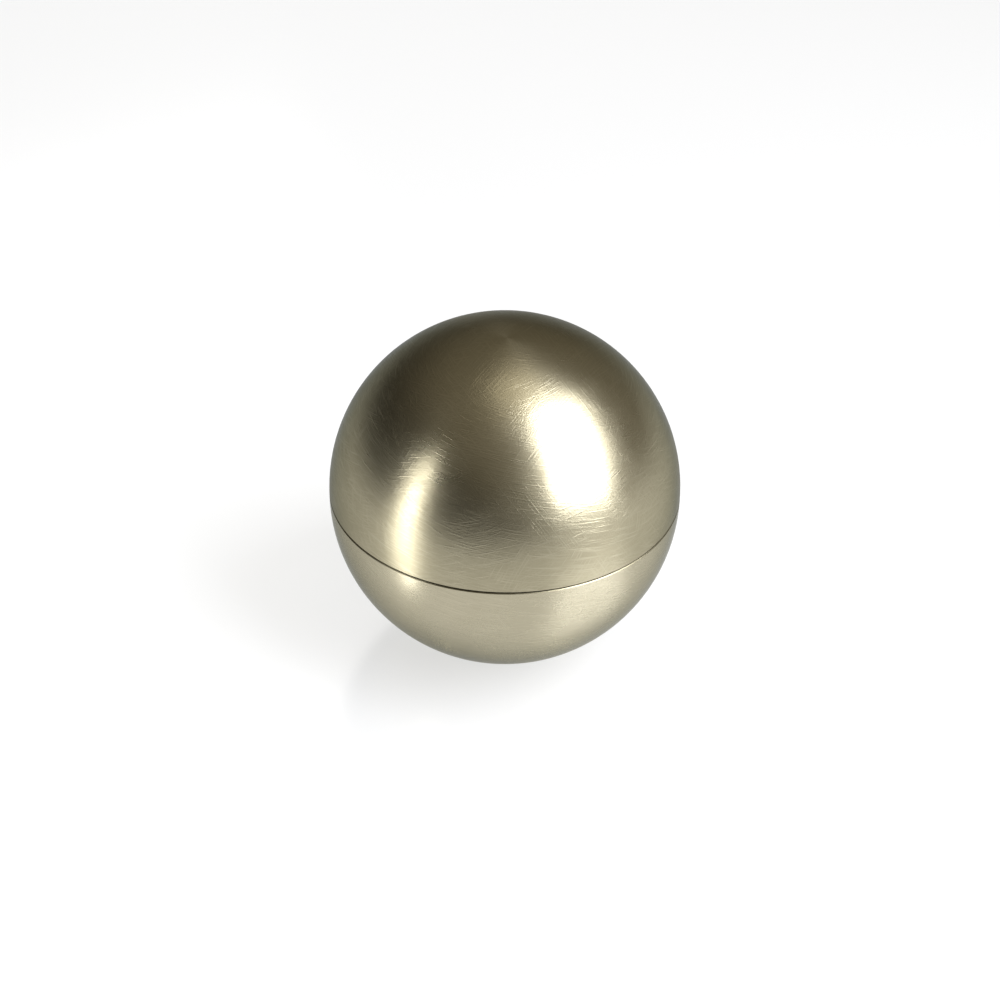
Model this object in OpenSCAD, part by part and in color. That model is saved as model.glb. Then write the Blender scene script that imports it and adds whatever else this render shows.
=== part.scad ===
// Spin-lock puzzle ball, shown closed, with the lock pins thrown clear of the post.
// The lower half stands on a small flat foot and carries a ball bearing.
// A grooved post turns in the bearing and carries the upper half.
// Four loose pins in the upper half drop into the post's groove and lock the ball.
// A hard spin throws the pins outward, and the upper half then lifts off the post.

/* [Ball] */
// Diameter of the closed ball across the seam
ball_d = 64; // [63:1:90]
// Height of the straight land that each half has beside the seam
rim_land = 0.25; // [0.2:0.05:1]
// Gap between the two rims, which lets the halves turn without rubbing
seam_gap = 0.2; // [0.1:0.05:0.4]
// Chamfer on the outer edge of each rim
rim_chamfer = 0.15; // [0.05:0.05:0.2]
// Diameter of the flat foot that the ball stands on
foot_d = 17; // [10:1:30]

/* [Register lip] */
// Width of the deck outside the lip
lip_inset = 4.5; // [4:0.25:6]
// Width of the lip
lip_w = 2; // [1:0.5:2.5]
// Height of the lip above the deck
lip_h = 1.2; // [0.6:0.1:2]
// Clearance all round the lip in the upper half's groove
lip_clear = 0.25; // [0.15:0.05:0.5]

/* [Bearing] */
// Outside diameter of the bearing
bearing_d = 22; // [22:0.5:26]
// Bore of the bearing
bearing_bore_d = 8; // [6:0.5:9]
// Width of the bearing
bearing_w = 7; // [6:0.5:10]
// Diameter of the inner race's shoulders
inner_shoulder_d = 12.1; // [11.5:0.1:12.5]
// Diameter inside the outer race's shoulders
outer_shoulder_d = 17.9; // [17.5:0.1:18.5]
// Diameter of each bearing ball
bearing_ball_d = 3.969; // [3.5:0.001:4.1]
// Number of bearing balls
bearing_balls_n = 7; // [5:1:8]
// Width of the cage that spaces the balls
cage_w = 5.2; // [4.8:0.1:6]
// Gap between the cage and the shoulders of each race
cage_gap = 0.5; // [0.4:0.05:0.8]

/* [Bearing retainer] */
// Width of the ring's hold on the bearing's outer race
retainer_hold = 1.5; // [1:0.25:2]
// Distance from the bearing's edge out to the axes of the ring's screws
retainer_screw_inset = 4.5; // [4:0.25:6]
// Width of the ring outside those axes
retainer_rim = 3.5; // [3.25:0.25:5]
// Thickness of the ring
retainer_t = 2.4; // [2:0.1:4]
// Depth of the ring's face below the deck
retainer_sink = 0.2; // [0.1:0.05:0.5]

/* [Lock post] */
// Diameter of the post that the upper half slides over
post_d = 16; // [14:0.5:20]
// Width of the flange outside the post, which the upper half rests on
flange_w = 4.5; // [4:0.25:5.5]
// Thickness of the flange
flange_t = 3; // [2:0.1:4]
// Gap between the flange and the bearing retainer
flange_gap = 0.3; // [0.2:0.05:0.5]
// Diameter of the shoulder that stands on the inner race
shoulder_d = 11; // [10.5:0.5:11.5]
// Depth of the lock groove
groove_depth = 2.4; // [1.5:0.1:3]
// Clearance above and below each pin in the groove
groove_side = 0.5; // [0.4:0.05:0.8]
// Chamfer on both edges of the groove
groove_edge = 0.3; // [0.1:0.05:0.5]
// Height of the groove's middle above the flange
groove_rise = 7.6; // [7:0.1:8.5]
// Height of the plain land above the groove
post_land = 3; // [2:0.1:4]
// Chamfer round the top of the post
post_chamfer = 1.2; // [0.4:0.1:2]
// Gap between the top of the post and the upper half, so that only the flange carries it
post_top_gap = 1; // [0.5:0.1:2]

/* [Pin carrier] */
// Depth of the carrier's face behind the upper half's rim
carrier_sink = 0.2; // [0.1:0.05:0.5]
// Least metal outside the plugs
plug_cover = 0.8; // [0.5:0.1:2]
// Metal between the flange's pocket and the pockets of the screw heads
head_wall = 0.75; // [0.5:0.05:1]
// Least metal outside the pockets of the screw heads
head_cover = 1.25; // [1:0.05:2]

/* [Lock pins] */
// Diameter of each lock pin
pin_d = 5; // [4:0.1:5.2]
// Length of each pin, with its nose
pin_len = 9.6; // [8:0.1:10]
// Length of the tapered nose
nose_len = 1.7; // [1:0.1:2]
// Diameter of the nose's flat end
nose_d = 2.4; // [1.5:0.1:3]
// Slope of the pin bores, down toward the post
bore_slope = 4; // [0:0.5:6]
// Step in the bore from the pin out to the wider thread of the plug behind it
plug_step = 0.5; // [0.3:0.1:0.8]
// Length of each plug
plug_len = 3; // [2:0.1:3]

/* [Screws and dowels] */
// Thread diameter of the countersunk retainer screws
retainer_screw_d = 3; // [2:0.5:3]
// Length of the retainer screws, with their heads
retainer_screw_len = 8; // [6:1:12]
// Thread diameter of the carrier screws
carrier_screw_d = 4; // [3:0.5:4]
// Depth that the carrier screws reach into the upper half
carrier_screw_grip = 5; // [3:0.5:5]
// Thread diameter of the screw under the post
post_screw_d = 4; // [3:0.5:4.5]
// Length of the post screw's thread
post_screw_len = 12; // [8:1:14]
// Thickness of the washer under the inner race
washer_t = 1.2; // [0.8:0.1:2]
// Diameter of the two drive dowels in the flange
dowel_d = 2.5; // [2:0.1:2.6]
// Height of the dowels above the flange
dowel_rise = 2.6; // [1.5:0.1:3]

/* [Fits] */
// Radial clearance of a running or sliding fit
run_clear = 0.05; // [0.03:0.01:0.1]
// Radial clearance of a close seat, such as the bearing in its pocket
seat_clear = 0.02; // [0.01:0.01:0.03]
// Radial clearance of the bearing balls in their cage's pockets
cage_clear = 0.1; // [0.05:0.01:0.2]
// Radial clearance round the flange in the carrier's pocket
flange_clear = 0.2; // [0.1:0.05:0.4]
// Gap between the thrown pins and the post, and between the locked pins and the groove's floor
pin_gap = 0.35; // [0.2:0.05:0.5]

/* [Hidden] */
$fn = 96;
// A cut reaches this far past the face that it opens
past = 1;
// Rise of a drill point's cone, for the usual 118 degree drill
drill_point = 31;
// Depth left free past the end of a screw or dowel in its blind hole
hole_spare = 0.5;
pin_n = 4;
dowel_n = 2;
retainer_screw_n = 3;
carrier_screw_n = 4;

// Radii
ball_r = ball_d / 2;
foot_r = foot_d / 2;
lip_r = ball_r - lip_inset;
post_r = post_d / 2;
flange_r = post_r + flange_w;
plug_r = pin_d / 2 + plug_step;
bearing_ball_r = bearing_ball_d / 2;

// The cage runs midway between the shoulders of the two races
pitch_r = (inner_shoulder_d + outer_shoulder_d) / 4;
cage_t = (outer_shoulder_d - inner_shoulder_d) / 2 - 2 * cage_gap;

// The retainer reaches in over the outer race, and out past its screws
retainer_bore_r = bearing_d / 2 - retainer_hold;
retainer_circle_r = bearing_d / 2 + retainer_screw_inset;
retainer_r = retainer_circle_r + retainer_rim;

// Heights above the foot, from the lower half up to the crown
foot_cut = ball_r - sqrt(ball_r * ball_r - foot_r * foot_r);
lower_centre_z = ball_r - foot_cut;
deck_z = lower_centre_z + rim_land;
rim_z = deck_z + seam_gap;
upper_centre_z = rim_z + rim_land;

// Heights in the lower half, from the deck down
retainer_top_z = deck_z - retainer_sink;
bearing_top_z = retainer_top_z - retainer_t;
bearing_bottom_z = bearing_top_z - bearing_w;
bearing_mid_z = bearing_bottom_z + bearing_w / 2;
washer_bottom_z = bearing_bottom_z - washer_t;

// Heights on the post and in the upper half, from the flange up
flange_bottom_z = retainer_top_z + flange_gap;
seat_z = flange_bottom_z + flange_t;
groove_z = seat_z + groove_rise;
groove_bottom_z = groove_z - pin_d / 2 - groove_side;
groove_top_z = groove_z + pin_d / 2 + groove_side;
post_top_z = groove_top_z + groove_edge + post_land + post_chamfer;
carrier_bottom_z = rim_z + carrier_sink;
carrier_top_z = post_top_z + post_top_gap;
carrier_h = carrier_top_z - carrier_bottom_z;
// The journal stops short of the washer, so that the washer clamps the race
journal_short = 0.3;
journal_bottom_z = bearing_bottom_z + journal_short;

// The race grooves are curved slightly slacker than the balls, and clear them at the bottom
groove_slack = 1.04;
race_groove_r = bearing_ball_r * groove_slack;
ball_clear = 0.03;

// The dowels stand midway between the post and the flange's edge
dowel_circle_r = (post_r + flange_r) / 2;

// Distances along each pin's sloped bore, measured from the post's axis
plug_gap = 0.2;
pin_out = post_r + run_clear + pin_gap;
pin_in = post_r - groove_depth + pin_gap;
pin_travel = pin_out - pin_in;
plug_start = pin_out + pin_len + plug_gap;
// The bores cross the groove's middle height halfway down its depth
bore_origin_z = groove_z - (post_r - groove_depth / 2) * tan(bore_slope);

// Screw heads and hex keys in proportion to their threads, as metric screws are made
function socket_head_r(d) = 0.875 * d;
function socket_head_h(d) = d;
function socket_key(d) = 0.75 * d;
function sunk_head_r(d) = 0.92 * d;
function sunk_key(d) = 0.66 * d;
function thread_edge(d) = 0.12 * d;
head_clear = 0.15;

// The carrier's screws stand clear of the flange's pocket
flange_pocket_r = flange_r + flange_clear;
head_pocket_r = socket_head_r(carrier_screw_d) + head_clear;
carrier_circle_r = flange_pocket_r + head_wall + head_pocket_r;
// The carrier is as wide as its plugs or its screw heads need, whichever reach further
carrier_r = max(plug_start + plug_len + plug_cover, carrier_circle_r + head_pocket_r + head_cover);

echo(pin_travel = pin_travel, bore_origin_z = bore_origin_z, bearing_mid_z = bearing_mid_z);
echo(rim_z = rim_z, seat_z = seat_z, post_top_z = post_top_z, crown_z = upper_centre_z + ball_r);

// Places its children at n equal turns round the Z axis, starting from a first angle
module around(n, first = 0) {
    for (i = [0:n - 1]) rotate([0, 0, first + i * 360 / n]) children();
}

// Places its children along the sloped bore of pin i, with +Z pointing outward from the post
module along_bore(i) {
    rotate([0, 0, (i - 1) * 360 / pin_n])
        translate([0, 0, bore_origin_z])
            rotate([0, 90 - bore_slope, 0])
                children();
}

// A ring with a plain rectangular section
module ring(outer_r, inner_r, h) {
    difference() {
        cylinder(h = h, r = outer_r);
        translate([0, 0, -past]) cylinder(h = h + 2 * past, r = inner_r);
    }
}

// What a 45 degree chamfer takes off the upper edge, at Z = 0, of a cylinder of radius r
module edge_chamfer(r, c) {
    rotate_extrude()
        polygon([[r - c, 0], [r + past, -c - past], [r + past, past], [r - c, past]]);
}

// A straight cylinder whose top edge is chamfered
module chamfered_rod(r, h, c) {
    cylinder(h = h - c, r = r);
    translate([0, 0, h - c]) cylinder(h = c, r1 = r, r2 = r - c);
}

// A hexagonal recess for a key of a given width across its flats, from Z = 0 up
module key_recess(across, h) {
    cylinder(h = h, r = across / 2 / cos(30), $fn = 6);
}

// A screw with a round socket head. Its thread points up, and its head hangs below Z = 0.
module socket_screw(d, len) {
    head_h = socket_head_h(d);
    key_h = head_h / 2;
    head_edge = head_h / 12;
    difference() {
        union() {
            mirror([0, 0, 1]) chamfered_rod(socket_head_r(d), head_h, head_edge);
            chamfered_rod(d / 2, len, thread_edge(d));
        }
        translate([0, 0, -head_h - past]) key_recess(socket_key(d), key_h + past);
    }
}

// A countersunk screw. Its head is flush with Z = 0 and its thread points down.
module sunk_screw(d, len) {
    head_r = sunk_head_r(d);
    cone_h = head_r - d / 2;
    key_h = d / 2;
    difference() {
        mirror([0, 0, 1]) {
            cylinder(h = cone_h, r1 = head_r, r2 = d / 2);
            chamfered_rod(d / 2, len, thread_edge(d));
        }
        translate([0, 0, -key_h]) key_recess(sunk_key(d), key_h + past);
    }
}

// The cut that a countersunk screw needs, with a tapped hole that ends in a drill point
module sunk_screw_hole(d, len) {
    hole_r = d / 2 + seat_clear;
    head_r = sunk_head_r(d) + head_clear;
    mirror([0, 0, 1]) {
        translate([0, 0, -past]) cylinder(h = past, r = head_r);
        cylinder(h = head_r - hole_r, r1 = head_r, r2 = hole_r);
        drilled_hole(hole_r, len + hole_spare);
    }
}

// A blind hole that ends in a drill point
module drilled_hole(r, depth) {
    translate([0, 0, -past]) cylinder(h = depth + past, r = r);
    translate([0, 0, depth]) cylinder(h = r * tan(drill_point), r1 = r, r2 = 0);
}

// Lower half: a turned half ball with its foot, deck, lip and bearing pocket
module lower_half() {
    relief_gap = 1.5;
    relief_r = shoulder_d / 2 + relief_gap;
    relief_h = washer_t + socket_head_h(post_screw_d) + relief_gap;
    lip_edge = lip_w / 8;
    color("#c3b27e")
        difference() {
            union() {
                intersection() {
                    translate([0, 0, lower_centre_z]) sphere(r = ball_r);
                    cylinder(h = lower_centre_z, r = ball_r + past);
                }
                translate([0, 0, lower_centre_z]) cylinder(h = rim_land, r = ball_r);
                translate([0, 0, deck_z - past])
                    ring(lip_r, lip_r - lip_w, lip_h + past);
            }
            translate([0, 0, deck_z]) edge_chamfer(ball_r, rim_chamfer);
            translate([0, 0, deck_z + lip_h]) edge_chamfer(lip_r, lip_edge);
            // Seat of the retainer
            translate([0, 0, bearing_top_z])
                cylinder(h = lip_h + bearing_w, r = retainer_r + seat_clear);
            // Pocket of the bearing
            translate([0, 0, bearing_bottom_z])
                cylinder(h = bearing_w + past, r = bearing_d / 2 + seat_clear);
            // Relief under the inner race, for the washer and the screw head
            translate([0, 0, bearing_bottom_z]) mirror([0, 0, 1]) drilled_hole(relief_r, relief_h);
            // Tapped holes of the retainer screws
            around(retainer_screw_n, 90)
                translate([retainer_circle_r, 0, retainer_top_z])
                    sunk_screw_hole(retainer_screw_d, retainer_screw_len);
        }
}

// Outer race, with its ball groove and rounded outer corners
module bearing_outer_race() {
    edge = 0.4;
    r = bearing_d / 2;
    shoulder_r = outer_shoulder_d / 2;
    groove_r = pitch_r + bearing_ball_r + ball_clear - race_groove_r;
    color("#a9abae")
        translate([0, 0, bearing_mid_z])
            rotate_extrude()
                difference() {
                    polygon([
                        [shoulder_r, -bearing_w / 2], [r - edge, -bearing_w / 2],
                        [r, edge - bearing_w / 2], [r, bearing_w / 2 - edge],
                        [r - edge, bearing_w / 2], [shoulder_r, bearing_w / 2]
                    ]);
                    translate([groove_r, 0]) circle(r = race_groove_r);
                }
}

// Inner race, with its ball groove and eased bore
module bearing_inner_race() {
    edge = 0.4;
    r = bearing_bore_d / 2 + seat_clear;
    shoulder_r = inner_shoulder_d / 2;
    groove_r = pitch_r - bearing_ball_r - ball_clear + race_groove_r;
    color("#a9abae")
        translate([0, 0, bearing_mid_z])
            rotate_extrude()
                difference() {
                    polygon([
                        [r + edge, -bearing_w / 2], [shoulder_r, -bearing_w / 2],
                        [shoulder_r, bearing_w / 2], [r + edge, bearing_w / 2],
                        [r, bearing_w / 2 - edge], [r, edge - bearing_w / 2]
                    ]);
                    translate([groove_r, 0]) circle(r = race_groove_r);
                }
}

// Bearing balls, one group of separate spheres
module bearing_balls() {
    color("#d5d8dc")
        around(bearing_balls_n)
            translate([pitch_r, 0, bearing_mid_z]) sphere(d = bearing_ball_d);
}

// Cage, one ring with a round pocket for each ball
module bearing_cage() {
    pocket_r = bearing_ball_r + cage_clear;
    color("#b08d45")
        difference() {
            translate([0, 0, bearing_mid_z - cage_w / 2])
                ring(pitch_r + cage_t / 2, pitch_r - cage_t / 2, cage_w);
            around(bearing_balls_n)
                translate([pitch_r, 0, bearing_mid_z]) sphere(r = pocket_r);
        }
}

// Ring that holds the bearing's outer race in its pocket
module bearing_retainer() {
    edge = 0.3;
    r = retainer_r;
    bore_r = retainer_bore_r;
    color("#b79c5c")
        difference() {
            translate([0, 0, bearing_top_z])
                rotate_extrude()
                    polygon([
                        [bore_r, 0], [r, 0], [r, retainer_t - edge],
                        [r - edge, retainer_t], [bore_r + edge, retainer_t],
                        [bore_r, retainer_t - edge]
                    ]);
            around(retainer_screw_n, 90)
                translate([retainer_circle_r, 0, retainer_top_z])
                    sunk_screw_hole(retainer_screw_d, retainer_screw_len);
        }
}

// Countersunk screws of the retainer
module retainer_screws() {
    color("#8d8f92")
        around(retainer_screw_n, 90)
            translate([retainer_circle_r, 0, retainer_top_z])
                sunk_screw(retainer_screw_d, retainer_screw_len);
}

// Turned section of the post, from the foot of its journal to its chamfered top
function post_outline() = let (
    journal_r = bearing_bore_d / 2,
    edge = 0.4,
    neck_r = post_r - groove_depth
) [
    [0, journal_bottom_z],
    [journal_r - edge, journal_bottom_z],
    [journal_r, journal_bottom_z + edge],
    [journal_r, bearing_top_z],
    [shoulder_d / 2, bearing_top_z],
    [shoulder_d / 2, flange_bottom_z],
    [flange_r - edge, flange_bottom_z],
    [flange_r, flange_bottom_z + edge],
    [flange_r, seat_z - edge],
    [flange_r - edge, seat_z],
    [post_r, seat_z],
    [post_r, groove_bottom_z - groove_edge],
    [post_r - groove_edge, groove_bottom_z],
    [neck_r, groove_bottom_z],
    [neck_r, groove_top_z],
    [post_r - groove_edge, groove_top_z],
    [post_r, groove_top_z + groove_edge],
    [post_r, post_top_z - post_chamfer],
    [post_r - post_chamfer, post_top_z],
    [0, post_top_z]
];

// Lock post: the turning spindle that carries the upper half
module lock_post() {
    centre_r = 2.5;
    centre_h = centre_r * tan(drill_point);
    color("#b4b7ba")
        difference() {
            rotate_extrude() polygon(post_outline());
            // Tapped hole of the post screw
            translate([0, 0, journal_bottom_z])
                drilled_hole(post_screw_d / 2 + seat_clear, post_screw_len);
            // Shallow turning centre in the top, where the lathe held it
            translate([0, 0, post_top_z - centre_h]) cylinder(h = centre_h, r1 = 0, r2 = centre_r);
            // Holes that the dowels are pressed into
            around(dowel_n)
                translate([dowel_circle_r, 0, flange_bottom_z - past])
                    cylinder(h = flange_t + 2 * past, r = dowel_d / 2 + seat_clear);
        }
}

// Washer that draws the inner race up against the post's shoulder
module post_washer() {
    color("#9a9c9f")
        translate([0, 0, washer_bottom_z])
            ring(shoulder_d / 2, post_screw_d / 2 + run_clear, washer_t);
}

// Socket screw under the post
module post_screw() {
    color("#8d8f92")
        translate([0, 0, washer_bottom_z]) socket_screw(post_screw_d, post_screw_len);
}

// Dowels that make the upper half turn with the post
module drive_dowels() {
    edge = 0.35;
    color("#c6c8cb")
        around(dowel_n)
            translate([dowel_circle_r, 0, flange_bottom_z])
                chamfered_rod(dowel_d / 2, flange_t + dowel_rise, edge);
}

// Upper half: a turned half ball, bored for the pin carrier
module upper_half() {
    bore_r = carrier_r + seat_clear;
    mouth_edge = 0.4;
    color("#c3b27e")
        difference() {
            union() {
                translate([0, 0, upper_centre_z])
                    intersection() {
                        sphere(r = ball_r);
                        cylinder(h = ball_r + past, r = ball_r + past);
                    }
                translate([0, 0, rim_z]) cylinder(h = rim_land, r = ball_r);
            }
            translate([0, 0, rim_z]) mirror([0, 0, 1]) edge_chamfer(ball_r, rim_chamfer);
            // Bore of the carrier, with an eased mouth
            translate([0, 0, rim_z - past])
                cylinder(h = carrier_top_z - rim_z + past, r = bore_r);
            translate([0, 0, rim_z])
                cylinder(h = mouth_edge, r1 = bore_r + mouth_edge, r2 = bore_r);
            // Groove that the lip turns in
            translate([0, 0, rim_z - past])
                ring(lip_r + lip_clear, lip_r - lip_w - lip_clear, lip_h + lip_clear + past);
            // Tapped holes of the carrier screws
            around(carrier_screw_n, 45)
                translate([carrier_circle_r, 0, carrier_top_z])
                    drilled_hole(carrier_screw_d / 2 + seat_clear, carrier_screw_grip + hole_spare);
        }
}

// Pin carrier: the hub in the upper half, with its socket and four sloped pin bores
module pin_carrier() {
    edge = 0.5;
    lead_in = 0.75;
    socket_r = post_r + run_clear;
    head_pocket_h = socket_head_h(carrier_screw_d) + head_clear;
    color("#bda562")
        difference() {
            translate([0, 0, carrier_bottom_z])
                rotate_extrude()
                    polygon([
                        [0, 0], [carrier_r - edge, 0], [carrier_r, edge],
                        [carrier_r, carrier_h - edge], [carrier_r - edge, carrier_h],
                        [0, carrier_h]
                    ]);
            // Socket of the post, with a lead-in above the seat
            translate([0, 0, carrier_bottom_z - past])
                cylinder(h = carrier_h + 2 * past, r = socket_r);
            translate([0, 0, seat_z])
                cylinder(h = lead_in, r1 = socket_r + lead_in, r2 = socket_r);
            // Pocket of the flange
            translate([0, 0, carrier_bottom_z - past])
                cylinder(h = seat_z - carrier_bottom_z + past, r = flange_pocket_r);
            // Slip holes of the drive dowels
            around(dowel_n)
                translate([dowel_circle_r, 0, seat_z])
                    drilled_hole(dowel_d / 2 + run_clear, dowel_rise + hole_spare);
            // Sloped bores, each with a wider thread for its plug
            for (i = [1:pin_n])
                along_bore(i) {
                    cylinder(h = carrier_r + past, r = pin_d / 2 + run_clear);
                    translate([0, 0, plug_start - plug_gap / 2])
                        cylinder(h = carrier_r, r = plug_r + seat_clear);
                }
            // Holes and head pockets of the carrier screws
            around(carrier_screw_n, 45)
                translate([carrier_circle_r, 0, carrier_bottom_z - past]) {
                    cylinder(h = carrier_h + 2 * past, r = carrier_screw_d / 2 + run_clear);
                    cylinder(h = head_pocket_h + past, r = head_pocket_r);
                }
        }
}

// Socket screws that hold the carrier up in the upper half
module carrier_screws() {
    head_seat_z = carrier_bottom_z + socket_head_h(carrier_screw_d) + head_clear;
    color("#8d8f92")
        around(carrier_screw_n, 45)
            translate([carrier_circle_r, 0, head_seat_z])
                socket_screw(carrier_screw_d, carrier_top_z - head_seat_z + carrier_screw_grip);
}

// Threaded plug that closes pin bore i and stops the thrown pin
module bore_plug(i) {
    key_h = plug_len / 2;
    edge = thread_edge(plug_r);
    color("#bda562")
        along_bore(i)
            translate([0, 0, plug_start])
                difference() {
                    chamfered_rod(plug_r, plug_len, edge);
                    translate([0, 0, plug_len - key_h]) key_recess(plug_r, key_h + past);
                }
}

// Lock pin i: a loose steel pin with a tapered nose, thrown clear of the post
module lock_pin(i) {
    edge = 0.35;
    color("#c9ccd0")
        along_bore(i)
            translate([0, 0, pin_out]) {
                cylinder(h = nose_len, r1 = nose_d / 2, r2 = pin_d / 2);
                translate([0, 0, nose_len]) chamfered_rod(pin_d / 2, pin_len - nose_len, edge);
            }
}

lower_half();
bearing_outer_race();
bearing_retainer();
retainer_screws();
bearing_balls();
bearing_cage();
lock_post();
bearing_inner_race();
post_washer();
post_screw();
drive_dowels();
upper_half();
pin_carrier();
carrier_screws();
for (i = [1:pin_n]) bore_plug(i);
for (i = [1:pin_n]) lock_pin(i);
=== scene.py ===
import math

import bpy
from mathutils import Matrix, Vector


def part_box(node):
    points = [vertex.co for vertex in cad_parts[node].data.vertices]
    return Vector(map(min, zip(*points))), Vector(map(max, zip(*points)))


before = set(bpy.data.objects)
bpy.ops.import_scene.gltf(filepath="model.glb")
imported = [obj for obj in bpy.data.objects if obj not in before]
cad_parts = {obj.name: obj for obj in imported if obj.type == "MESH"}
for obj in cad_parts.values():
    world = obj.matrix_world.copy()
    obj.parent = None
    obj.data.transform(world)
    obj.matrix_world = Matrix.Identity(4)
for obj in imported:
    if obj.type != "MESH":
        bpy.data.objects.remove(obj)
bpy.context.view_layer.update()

scene = bpy.context.scene
scene.view_settings.view_transform = "Standard"
perMetre = 1000.0       # millimetres
print("frame loaded:", len(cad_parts), "nodes")


# sRGB hex to a linear RGBA colour
def paint(hexCode):
    channels = [int(hexCode[i:i + 2], 16) / 255 for i in (1, 3, 5)]
    return [c / 12.92 if c < 0.04045 else ((c + 0.055) / 1.055) ** 2.4 for c in channels] + [1.0]


# Adds a node: settings are its own properties, inputs are values or the outputs that feed it
def addNode(tree, kind, settings=None, inputs=None):
    made = tree.nodes.new(kind)
    for name, value in (settings or {}).items():
        setattr(made, name, value)
    for name, value in (inputs or {}).items():
        if isinstance(value, bpy.types.NodeSocket):
            tree.links.new(value, made.inputs[name])
        else:
            made.inputs[name].default_value = value
    return made


def newMaterial(name):
    material = bpy.data.materials.new(name)
    material.use_nodes = True
    material.node_tree.nodes.clear()
    return material, material.node_tree


# What the photograph's camera sees: the ball's middle is a little right of and above the frame's middle
view = {
    "elevation": 35.4,      # degrees above the table
    "roll": 0.98,           # degrees, the camera leans to its left
    "distance": 0.576,      # metres from the ball's middle
    "framePx": 1000,
    "ballRadiusPx": 175.5,
    "ballRightPx": 4.8,
    "ballAbovePx": 12.8,
    "sensor": 36,           # mm
    "farthest": 20,         # metres, what lies beyond isn't drawn
}
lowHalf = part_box("lower_half")
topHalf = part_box("upper_half")
ballRadius = lowHalf[1].x
halfLand = 0.00035      # half the straight band at the seam, metres
ballMiddle = Vector((0, 0, topHalf[1].z - ballRadius - halfLand))

tilt = math.radians(view["elevation"])
away = Vector((0, -math.cos(tilt), math.sin(tilt)))
right = Matrix.Rotation(math.radians(view["roll"]), 3, away) @ Vector((1, 0, 0))
up = away.cross(right)
# A ball's outline is a little wider than its radius over its distance
pixelsPerTangent = view["ballRadiusPx"] * math.sqrt(view["distance"] ** 2 - ballRadius ** 2) / ballRadius
eye = ballMiddle + away * view["distance"]
aim = (ballMiddle - eye).normalized()
aim = aim - right * view["ballRightPx"] / pixelsPerTangent - up * view["ballAbovePx"] / pixelsPerTangent
back = -aim.normalized()
side = up.cross(back).normalized()
camera = bpy.data.objects.new("camera", bpy.data.cameras.new("camera"))
camera.data.sensor_width = view["sensor"]
camera.data.lens = view["sensor"] * pixelsPerTangent / view["framePx"]
camera.data.clip_end = view["farthest"]
camera.matrix_world = Matrix.Translation(eye) @ Matrix((side, back.cross(side), back)).transposed().to_4x4()
scene.collection.objects.link(camera)
scene.camera = camera
print("camera set, lens", round(camera.data.lens, 1), "mm")


# White table: acrylic sheet with some glow for what looks straight at it, so that it reaches white and
# keeps a shadow. Its gloss sends the window's light up into the ball's lower half, as in the photograph.
table = {
    "colour": "#f6f6f5",
    "roughness": 0.2,
    "ior": 2.9,             # acrylic's is 1.49, which mirrors the window too weakly
    "glow": 0.62,           # share of glow in what is seen of it, the rest is the lit sheet
    "glowColour": "#fdfeff",
    "size": 6.0,            # metres
}
edge = table["size"] / 2
corners = [(-edge, -edge, 0), (edge, -edge, 0), (edge, edge, 0), (-edge, edge, 0)]
mesh = bpy.data.meshes.new("table")
mesh.from_pydata(corners, [], [(0, 1, 2, 3)])
floor = bpy.data.objects.new("table", mesh)
scene.collection.objects.link(floor)
material, tree = newMaterial("white acrylic sheet, satin")
path = addNode(tree, "ShaderNodeLightPath")
mirrored = addNode(tree, "ShaderNodeMath", {"operation": "MAXIMUM"},
                   {0: path.outputs["Is Camera Ray"], 1: path.outputs["Is Glossy Ray"]})
seen = addNode(tree, "ShaderNodeMath", {"operation": "MAXIMUM"},
               {0: mirrored.outputs[0], 1: path.outputs["Is Transmission Ray"]})
share = addNode(tree, "ShaderNodeMath", {"operation": "MULTIPLY"}, {0: seen.outputs[0], 1: table["glow"]})
sheet = addNode(tree, "ShaderNodeBsdfPrincipled",
                inputs={"Base Color": paint(table["colour"]), "Roughness": table["roughness"],
                        "IOR": table["ior"]})
glow = addNode(tree, "ShaderNodeEmission", inputs={"Color": paint(table["glowColour"]), "Strength": 1.0})
both = addNode(tree, "ShaderNodeMixShader",
               inputs={0: share.outputs[0], 1: sheet.outputs[0], 2: glow.outputs[0]})
addNode(tree, "ShaderNodeOutputMaterial", inputs={"Surface": both.outputs[0]})
floor.data.materials.append(material)

# Dim warm room, so that the crown stays dark as in the photograph: lighter toward the window's side
room = {
    "lightSide": "#867f71",
    "darkSide": "#171511",
    "toward": (0.4, 0.1, 0.7),      # the way to the light side
    "edge": (-0.05, 0.4),           # how far that way the dark side ends and the light side begins
}
world = bpy.data.worlds.new("room")
world.use_nodes = True
tree = world.node_tree
tree.nodes.clear()
sky = addNode(tree, "ShaderNodeTexCoord")
across = addNode(tree, "ShaderNodeVectorMath", {"operation": "DOT_PRODUCT"},
                 {0: sky.outputs["Generated"], 1: room["toward"]})
share = addNode(tree, "ShaderNodeMapRange",
                inputs={"Value": across.outputs["Value"], "From Min": room["edge"][0],
                        "From Max": room["edge"][1]})
walls = addNode(tree, "ShaderNodeMix", {"data_type": "RGBA"},
                {"Factor": share.outputs[0], "A": paint(room["darkSide"]), "B": paint(room["lightSide"])})
dim = addNode(tree, "ShaderNodeBackground", inputs={"Color": walls.outputs["Result"], "Strength": 1.0})
addNode(tree, "ShaderNodeOutputWorld", inputs={"Surface": dim.outputs[0]})
scene.world = world

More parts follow.
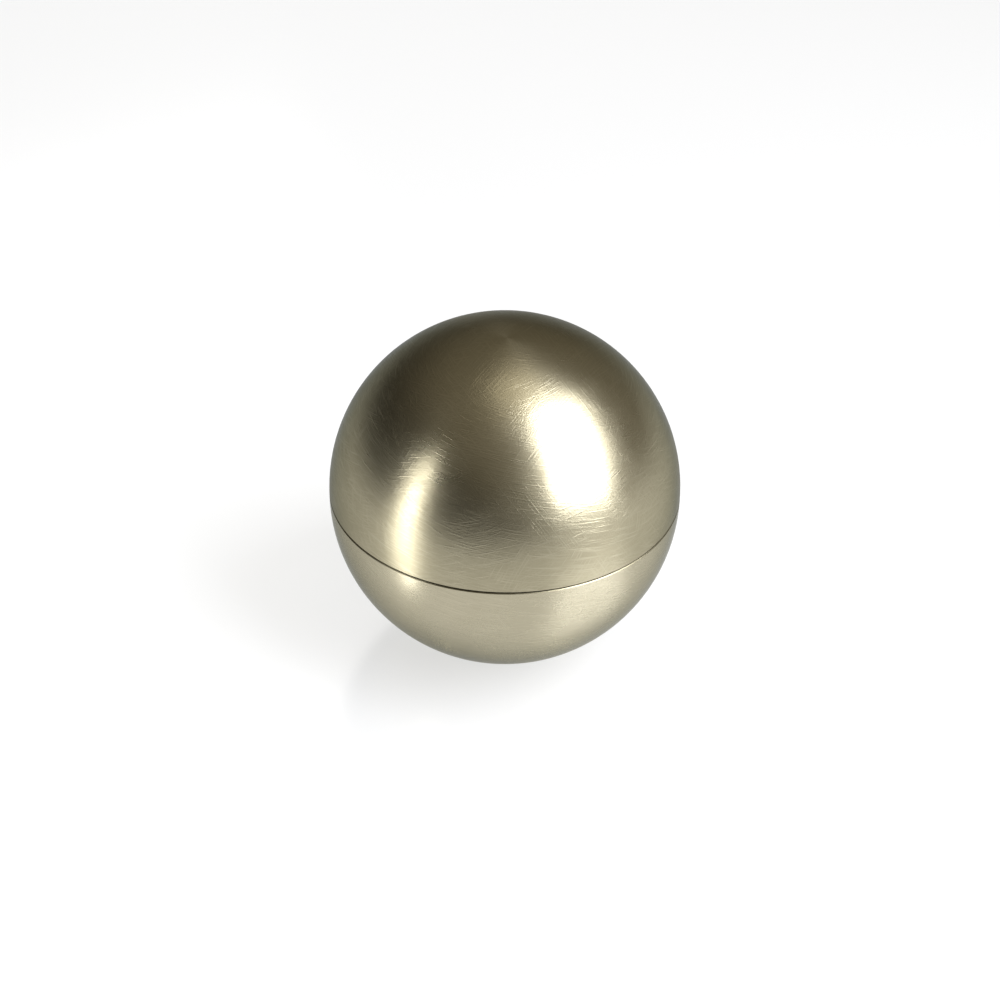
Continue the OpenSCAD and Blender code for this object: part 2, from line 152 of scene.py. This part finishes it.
# Lamps: azimuth is measured from the camera toward the right, in degrees, and lengths are in metres. For
# the strip the table is "spared": it gets none of that light and stops none, so the lower half of the
# strip stands in for its mirror image in a glossy table. The fill lights the table "alone", to bring it
# near white.
lamps = {
    "window": {"azimuth": 64, "elevation": 41, "distance": 0.5, "width": 0.35, "height": 0.56,
               "lean": -27, "colour": "#f6f8ff", "watts": 4.1, "spread": 140, "table": "lit"},
    "strip": {"azimuth": -57.5, "elevation": 0.4, "distance": 0.16, "width": 0.024, "height": 0.213,
              "lean": 1, "colour": "#ffffff", "watts": 0.076, "spread": 130, "table": "spared"},
    "ceiling": {"azimuth": 130, "elevation": 80, "distance": 0.5, "width": 0.25, "height": 0.25,
                "lean": 0, "colour": "#fff8e8", "watts": 0.22, "spread": 180, "table": "lit"},
    "fill": {"azimuth": -150, "elevation": 40, "distance": 0.5, "width": 0.4, "height": 0.4,
             "lean": 0, "colour": "#ffffff", "watts": 0.8, "spread": 180, "table": "alone"},
}
tableLinks = {"spared": "EXCLUDE", "alone": "INCLUDE"}
for name, lamp in lamps.items():
    a, e = math.radians(lamp["azimuth"]), math.radians(lamp["elevation"])
    toward = Vector((math.sin(a) * math.cos(e), -math.cos(a) * math.cos(e), math.sin(e)))
    data = bpy.data.lights.new(name, "AREA")
    data.shape = "RECTANGLE"
    data.size, data.size_y = lamp["width"], lamp["height"]
    data.energy = lamp["watts"]
    data.spread = math.radians(lamp["spread"])
    data.color = paint(lamp["colour"])[:3]
    light = bpy.data.objects.new(name, data)
    turn = toward.to_track_quat("Z", "Y").to_matrix() @ Matrix.Rotation(math.radians(lamp["lean"]), 3, "Z")
    light.matrix_world = Matrix.Translation(ballMiddle + toward * lamp["distance"]) @ turn.to_4x4()
    light.visible_camera = False
    scene.collection.objects.link(light)
    if lamp["table"] in tableLinks:
        linked = bpy.data.collections.new("table, for the " + name)
        linked.objects.link(floor)
        linked.collection_objects[0].light_linking.link_state = tableLinks[lamp["table"]]
        light.light_linking.receiver_collection = linked
        if lamp["table"] == "spared":
            light.light_linking.blocker_collection = linked
print("table, room and", len(lamps), "lamps set")


# Satin brass, brushed by hand with a fine abrasive pad: a pale champagne metal. The long hairlines cross
# in many directions, so glints show as arcs round each highlight and the highlight's edge is frayed.
# Noise ranges say where on the noise a thing starts and where it is full.
satin = {
    # The hairlines get the colour and the ground between them the darker one: a painted sheen, standing in
    # for the hairlines' glints
    "upper": {"colour": "#aea78f", "betweenGlints": "#9d967e", "roughness": 0.33, "anisotropy": 0.36,
              "hairHeight": 0.017, "rimTint": "#9aa0a4"},
    "lower": {"colour": "#b8b19a", "betweenGlints": "#afa891", "roughness": 0.28, "anisotropy": 0.5,
              "hairHeight": 0.004, "rimTint": "#b0b4b6"},
    "grain": 0.25,                  # of a turn from the tangent round the axis, for the anisotropy
    "hairWidth": 0.24,              # mm, real ones are 0.02 to 0.05 and wouldn't show
    "hairLength": 8.0,              # mm
    "hairNoise": (0.5, 0.78),
    "hairDetail": 1.0,
    "hairGloss": -0.05,             # added to the roughness on a hairline, where the pad has rubbed
    "patch": 14.0,                  # mm, how far apart stronger and weaker brushing lie
    "patchNoise": (0.35, 0.65),
    "patchStrength": (0.6, 1.0),
    "patchRoughness": (-0.02, 0.03),
    "turn": 11.0,                   # mm, how far apart places brushed in different directions lie
    "turnNoise": (0.46, 0.58),
    # Each sweep of the pad runs round a pole: degrees round the ball's axis, down from its top, strength
    "sweeps": [(0, 10, 1.0), (72, 24, 1.0), (144, 18, 1.0), (216, 30, 0.9), (288, 22, 1.0), (25, 58, 0.8),
               (150, 70, 0.8), (265, 64, 0.8)],
    "sweepFade": (0.98, 0.85),      # toward its pole, as a share of the ball's radius: gone and full
    "sweepShift": (31, 17, 5.0),    # moves each sweep's noises along, so that no two are alike
    "skin": 0.3,                    # mm, deeper than this below the ball's face the metal is as turned
    "turned": {"colour": "#cbc2a4", "roughness": 0.24, "ringPitch": 0.32, "ringHeight": 0.02},      # mm
    # The seam's two chamfers are rougher and take a darker colour, painted shade that dims their highlight:
    # reach and fade in mm, and how much rougher
    "rim": {"reach": 0.27, "fade": 0.03, "roughness": 0.12, "colour": "#8a846e"},
}
ringRoughness = 0.6     # of the tool marks' noise: more lets the finer marks show


# A point of the piece, in millimetres
def pointOnPiece(tree):
    place = addNode(tree, "ShaderNodeTexCoord")
    return addNode(tree, "ShaderNodeVectorMath", {"operation": "SCALE"},
                   {0: place.outputs["Object"], "Scale": perMetre}).outputs[0]


# How far a point is from the axis: the length of its first two coordinates
def fromAxis(tree, spot):
    level = addNode(tree, "ShaderNodeVectorMath", {"operation": "MULTIPLY"}, {0: spot, 1: (1, 1, 0)})
    reach = addNode(tree, "ShaderNodeVectorMath", {"operation": "LENGTH"}, {0: level.outputs[0]})
    return reach.outputs["Value"]


# Height of the hairlines, 0 to 1. A sweep is a set of level circles round its pole, cut into dashes by
# noise stretched in (longitude, latitude). It fades toward the pole, and all but the first are strong only
# where a slow noise of their own is high. The tallest sweep shows.
def hairlines(tree, outward):
    along = ballRadius * perMetre / satin["hairLength"]
    across = ballRadius * perMetre / satin["hairWidth"]
    shift = satin["sweepShift"]
    tallest = None
    for i, (around, down, strong) in enumerate(satin["sweeps"]):
        around, down = math.radians(around), math.radians(down)
        pole = (math.sin(down) * math.cos(around), math.sin(down) * math.sin(around), math.cos(down))
        upright = (math.atan2(pole[1], pole[2]), -math.asin(pole[0]), 0.0)
        turned = addNode(tree, "ShaderNodeVectorRotate", {"rotation_type": "EULER_XYZ"},
                         {"Vector": outward, "Rotation": upright})
        parts = addNode(tree, "ShaderNodeSeparateXYZ", inputs={0: turned.outputs[0]})
        longitude = addNode(tree, "ShaderNodeMath", {"operation": "ARCTAN2"},
                            {0: parts.outputs[1], 1: parts.outputs[0]})
        latitude = addNode(tree, "ShaderNodeMath", {"operation": "ARCSINE"}, {0: parts.outputs[2]})
        flat = addNode(tree, "ShaderNodeCombineXYZ",
                       inputs={"X": longitude.outputs[0], "Y": latitude.outputs[0]})
        spread = addNode(tree, "ShaderNodeVectorMath", {"operation": "MULTIPLY_ADD"},
                         {0: flat.outputs[0], 1: (along, across, 1), 2: (shift[0] * i, shift[1] * i, 0)})
        noise = addNode(tree, "ShaderNodeTexNoise", {"noise_dimensions": "2D"},
                        {"Vector": spread.outputs[0], "Scale": 1.0, "Detail": satin["hairDetail"]})
        dash = addNode(tree, "ShaderNodeMapRange",
                       inputs={"Value": noise.outputs[0], "From Min": satin["hairNoise"][0],
                               "From Max": satin["hairNoise"][1]})
        toPole = addNode(tree, "ShaderNodeMath", {"operation": "ABSOLUTE"}, {0: parts.outputs[2]})
        fade = addNode(tree, "ShaderNodeMapRange",
                       inputs={"Value": toPole.outputs[0], "From Min": satin["sweepFade"][0],
                               "From Max": satin["sweepFade"][1], "To Max": strong})
        shown = addNode(tree, "ShaderNodeMath", {"operation": "MULTIPLY"},
                        {0: dash.outputs[0], 1: fade.outputs[0]}).outputs[0]
        if tallest is None:
            tallest = shown
            continue
        slow = addNode(tree, "ShaderNodeTexNoise", {"noise_dimensions": "4D"},
                       {"Vector": outward, "W": shift[2] * i,
                        "Scale": ballRadius * perMetre / satin["turn"], "Detail": 0.0})
        here = addNode(tree, "ShaderNodeMapRange",
                       inputs={"Value": slow.outputs[0], "From Min": satin["turnNoise"][0],
                               "From Max": satin["turnNoise"][1]})
        shown = addNode(tree, "ShaderNodeMath", {"operation": "MULTIPLY"}, {0: shown, 1: here.outputs[0]})
        tallest = addNode(tree, "ShaderNodeMath", {"operation": "MAXIMUM"},
                          {0: tallest, 1: shown.outputs[0]}).outputs[0]
    return tallest


# Tool marks: noise along one number, the distance from the axis plus the height along it, so that a
# faced end gets circles and a turned wall gets hoops
def toolRings(tree, spot, pitch):
    rise = addNode(tree, "ShaderNodeSeparateXYZ", inputs={0: spot})
    count = addNode(tree, "ShaderNodeMath", {"operation": "ADD"},
                    {0: fromAxis(tree, spot), 1: rise.outputs[2]})
    return addNode(tree, "ShaderNodeTexNoise", {"noise_dimensions": "1D"},
                   {"W": count.outputs[0], "Scale": 1 / pitch, "Roughness": ringRoughness}).outputs[0]


def makeSatinBrass(half):
    look, bare, rim = satin[half], satin["turned"], satin["rim"]
    material, tree = newMaterial("satin brass, brushed by hand, " + half)
    spot = pointOnPiece(tree)
    fromMiddle = addNode(tree, "ShaderNodeVectorMath", {"operation": "SUBTRACT"},
                         {0: spot, 1: tuple(ballMiddle * perMetre)})
    outward = addNode(tree, "ShaderNodeVectorMath", {"operation": "NORMALIZE"}, {0: fromMiddle.outputs[0]})
    depth = addNode(tree, "ShaderNodeVectorMath", {"operation": "LENGTH"}, {0: fromMiddle.outputs[0]})
    inside = addNode(tree, "ShaderNodeMath", {"operation": "LESS_THAN"},
                     {0: depth.outputs["Value"], 1: ballRadius * perMetre - satin["skin"]})

    # Relief: hairlines on the skin, tool marks inside
    patches = addNode(tree, "ShaderNodeTexNoise", inputs={"Vector": spot, "Scale": 1 / satin["patch"]})
    strength = addNode(tree, "ShaderNodeMapRange",
                       inputs={"Value": patches.outputs[0], "From Min": satin["patchNoise"][0],
                               "From Max": satin["patchNoise"][1], "To Min": satin["patchStrength"][0],
                               "To Max": satin["patchStrength"][1]})
    hairs = hairlines(tree, outward.outputs[0])
    rings = toolRings(tree, spot, bare["ringPitch"])
    height = addNode(tree, "ShaderNodeMix", {"data_type": "FLOAT"},
                     {"Factor": inside.outputs[0], "A": hairs, "B": rings})
    tall = addNode(tree, "ShaderNodeMapRange",
                   inputs={"Value": inside.outputs[0], "To Min": look["hairHeight"] / perMetre,
                           "To Max": bare["ringHeight"] / perMetre})
    bump = addNode(tree, "ShaderNodeBump",
                   inputs={"Height": height.outputs[0], "Strength": strength.outputs[0],
                           "Distance": tall.outputs[0]})

    # Roughness and colour: uneven over the patches, and beside the seam rougher and darker, painted shade
    # that dims the chamfers' highlight
    parts = addNode(tree, "ShaderNodeSeparateXYZ", inputs={0: fromMiddle.outputs[0]})
    nearSeam = addNode(tree, "ShaderNodeMath", {"operation": "ABSOLUTE"}, {0: parts.outputs[2]})
    seamShadeMask = addNode(tree, "ShaderNodeMapRange",
                   inputs={"Value": nearSeam.outputs[0], "From Min": rim["reach"],
                           "From Max": rim["reach"] - rim["fade"]})
    worn = addNode(tree, "ShaderNodeMapRange",
                   inputs={"Value": patches.outputs[0], "From Min": satin["patchNoise"][0],
                           "From Max": satin["patchNoise"][1],
                           "To Min": look["roughness"] + satin["patchRoughness"][0],
                           "To Max": look["roughness"] + satin["patchRoughness"][1]})
    brushed = addNode(tree, "ShaderNodeMath", {"operation": "MULTIPLY_ADD"},
                      {0: hairs, 1: satin["hairGloss"], 2: worn.outputs[0]})
    rough = addNode(tree, "ShaderNodeMath", {"operation": "MULTIPLY_ADD"},
                    {0: seamShadeMask.outputs[0], 1: rim["roughness"], 2: brushed.outputs[0]})
    gloss = addNode(tree, "ShaderNodeMix", {"data_type": "FLOAT"},
                    {"Factor": inside.outputs[0], "A": rough.outputs[0], "B": bare["roughness"]})
    # Painted sheen: lighter colour on the hairlines, darker between them, standing in for their glints
    tint = addNode(tree, "ShaderNodeMix", {"data_type": "RGBA"},
                   {"Factor": hairs, "A": paint(look["betweenGlints"]), "B": paint(look["colour"])})
    # Painted shade on the seam's chamfers, to dim their highlight
    seamShaded = addNode(tree, "ShaderNodeMix", {"data_type": "RGBA"},
                    {"Factor": seamShadeMask.outputs[0], "A": tint.outputs["Result"], "B": paint(rim["colour"])})
    colour = addNode(tree, "ShaderNodeMix", {"data_type": "RGBA"},
                     {"Factor": inside.outputs[0], "A": seamShaded.outputs["Result"],
                      "B": paint(bare["colour"])})

    hoops = addNode(tree, "ShaderNodeTangent", {"direction_type": "RADIAL", "axis": "Z"})
    metal = addNode(tree, "ShaderNodeBsdfPrincipled",
                    inputs={"Base Color": colour.outputs["Result"], "Metallic": 1.0,
                            "Roughness": gloss.outputs[0], "Specular Tint": paint(look["rimTint"]),
                            "Anisotropic": look["anisotropy"], "Anisotropic Rotation": satin["grain"],
                            "Normal": bump.outputs[0], "Tangent": hoops.outputs[0]})
    addNode(tree, "ShaderNodeOutputMaterial", inputs={"Surface": metal.outputs[0]})
    return material


def dress(material, *names):
    for name in names:
        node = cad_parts[name]
        node.data.materials.clear()
        node.data.materials.append(material)


dress(makeSatinBrass("lower"), "lower_half")
dress(makeSatinBrass("upper"), "upper_half")
print("satin brass made")


# Metals of the inner pieces. Pitch and height of the tool marks are in mm, and drawn coarser than the
# real 0.05 to 0.1 so that they show. "copies" says how many stand round the ball's axis, the first one's
# angle, how far out they are, and, for the sloped cross bores, the height they start from and their slope.
# "thread" gives the radius and pitch of a screw's thread.
boreStart, boreSlope = 41.325, 4.0      # mm and degrees
finishes = {
    # free-cutting brass as it leaves the lathe: brighter and yellower than the skin, with fine hoops
    "turned brass": {"on": ("pin_carrier", "bearing_retainer"), "colour": "#d0c39a", "shade": "#bdae82",
                     "roughness": 0.22, "ringPitch": 0.32, "ringHeight": 0.018},
    "turned brass, plugs": {"on": ("bore_plug_1", "bore_plug_2", "bore_plug_3", "bore_plug_4"),
                            "colour": "#d0c39a", "shade": "#bdae82", "roughness": 0.24, "ringPitch": 0.5,
                            "ringHeight": 0.05, "copies": (4, 0, 0, boreStart, boreSlope)},
    # machined cage brass, oiled: darker and browner, a soft gleam
    "machined brass, oiled": {"on": ("bearing_cage",), "colour": "#a98a45", "shade": "#8d7038",
                              "roughness": 0.3, "ringPitch": 0.4, "ringHeight": 0.02},
    # stainless steel, fine turned: neutral grey with clear hoops
    "stainless steel, fine turned": {"on": ("lock_post", "post_washer"), "colour": "#b6b7b5",
                                     "shade": "#9fa09e", "roughness": 0.2, "ringPitch": 0.3,
                                     "ringHeight": 0.016},
    # centreless ground pins and dowels: brighter, with closer and shallower marks
    "stainless steel, ground, pins": {"on": ("lock_pin_1", "lock_pin_2", "lock_pin_3", "lock_pin_4"),
                                      "colour": "#c3c5c7", "shade": "#b2b4b7", "roughness": 0.16,
                                      "ringPitch": 0.22, "ringHeight": 0.006,
                                      "copies": (4, 0, 0, boreStart, boreSlope)},
    "stainless steel, ground, dowels": {"on": ("drive_dowels",), "colour": "#c3c5c7", "shade": "#b2b4b7",
                                        "roughness": 0.16, "ringPitch": 0.22, "ringHeight": 0.006,
                                        "copies": (2, 0, 10.25)},
    # hardened bearing steel, ground and lapped: cool, near mirror
    "bearing steel, ground": {"on": ("bearing_outer_race", "bearing_inner_race"), "colour": "#bcc0c4",
                              "shade": "#abafb4", "roughness": 0.12, "ringPitch": 0.25,
                              "ringHeight": 0.004},
    "bearing steel, lapped": {"on": ("bearing_balls",), "colour": "#c9cdd1", "shade": "#c0c4c9",
                              "roughness": 0.05, "ringPitch": 0.6, "ringHeight": 0.001,
                              "copies": (7, 0, 7.5)},
    # cold-headed stainless screws: duller, with the lathe's circles on their faces
    "stainless steel, headed, sunk screws": {"on": ("retainer_screws",), "colour": "#a7a9aa",
                                             "shade": "#8b8d8f", "roughness": 0.28, "ringPitch": 0.3,
                                             "ringHeight": 0.02, "copies": (3, 90, 15.5),
                                             "thread": (1.5, 0.5)},
    "stainless steel, headed, carrier screws": {"on": ("carrier_screws",), "colour": "#a7a9aa",
                                                "shade": "#8b8d8f", "roughness": 0.28, "ringPitch": 0.35,
                                                "ringHeight": 0.02, "copies": (4, 45, 17.1),
                                                "thread": (2.0, 0.7)},
    "stainless steel, headed, post screw": {"on": ("post_screw",), "colour": "#a7a9aa", "shade": "#8b8d8f",
                                            "roughness": 0.28, "ringPitch": 0.35, "ringHeight": 0.02,
                                            "thread": (2.0, 0.7)},
}
marks = {
    "strength": 0.9,            # of the relief
    "smear": 6.0,               # mm, size of the faint stains that handling and oil leave
    "smearNoise": (0.3, 0.8),
    "smearShade": 0.5,          # how far a full stain goes toward the shade
    "ringShade": 0.7,           # how far a tool mark does
    "gloss": (0.85, 1.3),       # times the roughness, from the clean colour to the shade
    "threadDepth": 0.3,         # mm
    "threadReach": 0.08,        # mm, what is this near the shank's radius is threaded
}


# A point in its own copy's frame, in mm: across the axis and along it. Copies that stand round the ball's
# axis are folded onto one: the angle is taken modulo a full turn over their number.
def ownFrame(tree, copies):
    spot = pointOnPiece(tree)
    if not copies:
        return spot
    number, first, out, *bore = copies
    step = 2 * math.pi / number
    parts = addNode(tree, "ShaderNodeSeparateXYZ", inputs={0: spot})
    reach = fromAxis(tree, spot)
    angle = addNode(tree, "ShaderNodeMath", {"operation": "ARCTAN2"},
                    {0: parts.outputs[1], 1: parts.outputs[0]})
    turns = addNode(tree, "ShaderNodeMath", {"operation": "MULTIPLY_ADD"},
                    {0: angle.outputs[0], 1: 1 / step, 2: 0.5 - math.radians(first) / step})
    part = addNode(tree, "ShaderNodeMath", {"operation": "FRACT"}, {0: turns.outputs[0]})
    folded = addNode(tree, "ShaderNodeMath", {"operation": "MULTIPLY_ADD"},
                     {0: part.outputs[0], 1: step, 2: -step / 2})
    cosine = addNode(tree, "ShaderNodeMath", {"operation": "COSINE"}, {0: folded.outputs[0]})
    sine = addNode(tree, "ShaderNodeMath", {"operation": "SINE"}, {0: folded.outputs[0]})
    x = addNode(tree, "ShaderNodeMath", {"operation": "MULTIPLY_ADD"},
                {0: reach, 1: cosine.outputs[0], 2: -out})
    y = addNode(tree, "ShaderNodeMath", {"operation": "MULTIPLY"}, {0: reach, 1: sine.outputs[0]})
    own = addNode(tree, "ShaderNodeCombineXYZ",
                  inputs={0: x.outputs[0], 1: y.outputs[0], 2: parts.outputs[2]}).outputs[0]
    if bore:
        start, slope = bore
        lowered = addNode(tree, "ShaderNodeVectorMath", {"operation": "SUBTRACT"},
                          {0: own, 1: (0, 0, start)})
        upright = (0.0, math.radians(slope - 90), 0.0)
        own = addNode(tree, "ShaderNodeVectorRotate", {"rotation_type": "EULER_XYZ"},
                      {"Vector": lowered.outputs[0], "Rotation": upright}).outputs[0]
    return own


# Height of a screw's thread on its shank's own radius, where it rises and falls once in each pitch, and
# of the tool marks elsewhere. Both are in units of the tool marks' height.
def threaded(tree, own, rings, look):
    radius, pitch = look["thread"]
    parts = addNode(tree, "ShaderNodeSeparateXYZ", inputs={0: own})
    wave = addNode(tree, "ShaderNodeMath", {"operation": "PINGPONG"}, {0: parts.outputs[2], 1: pitch / 2})
    ridge = addNode(tree, "ShaderNodeMath", {"operation": "MULTIPLY"},
                    {0: wave.outputs[0], 1: 2 / pitch * marks["threadDepth"] / look["ringHeight"]})
    onShank = addNode(tree, "ShaderNodeMath", {"operation": "COMPARE"},
                      {0: fromAxis(tree, own), 1: radius, 2: marks["threadReach"]})
    return addNode(tree, "ShaderNodeMix", {"data_type": "FLOAT"},
                   {"Factor": onShank.outputs[0], "A": rings, "B": ridge.outputs[0]}).outputs[0]


def makeTurned(name, look):
    material, tree = newMaterial(name)
    own = ownFrame(tree, look.get("copies"))
    rings = toolRings(tree, own, look["ringPitch"])
    height = threaded(tree, own, rings, look) if "thread" in look else rings
    bump = addNode(tree, "ShaderNodeBump",
                   inputs={"Height": height, "Strength": marks["strength"],
                           "Distance": look["ringHeight"] / perMetre})
    smears = addNode(tree, "ShaderNodeTexNoise", inputs={"Vector": own, "Scale": 1 / marks["smear"]})
    stain = addNode(tree, "ShaderNodeMapRange",
                    inputs={"Value": smears.outputs[0], "From Min": marks["smearNoise"][0],
                            "From Max": marks["smearNoise"][1], "To Max": marks["smearShade"]})
    mixed = addNode(tree, "ShaderNodeMath", {"operation": "MULTIPLY_ADD"},
                    {0: rings, 1: marks["ringShade"], 2: stain.outputs[0]})
    colour = addNode(tree, "ShaderNodeMix", {"data_type": "RGBA"},
                     {"Factor": mixed.outputs[0], "A": paint(look["colour"]), "B": paint(look["shade"])})
    gloss = addNode(tree, "ShaderNodeMapRange",
                    inputs={"Value": mixed.outputs[0], "To Min": look["roughness"] * marks["gloss"][0],
                            "To Max": look["roughness"] * marks["gloss"][1]})
    metal = addNode(tree, "ShaderNodeBsdfPrincipled",
                    inputs={"Base Color": colour.outputs["Result"], "Metallic": 1.0,
                            "Roughness": gloss.outputs[0], "Normal": bump.outputs[0]})
    addNode(tree, "ShaderNodeOutputMaterial", inputs={"Surface": metal.outputs[0]})
    return material


for name, look in finishes.items():
    dress(makeTurned(name, look), *look["on"])
print("finishes of the inner pieces made")
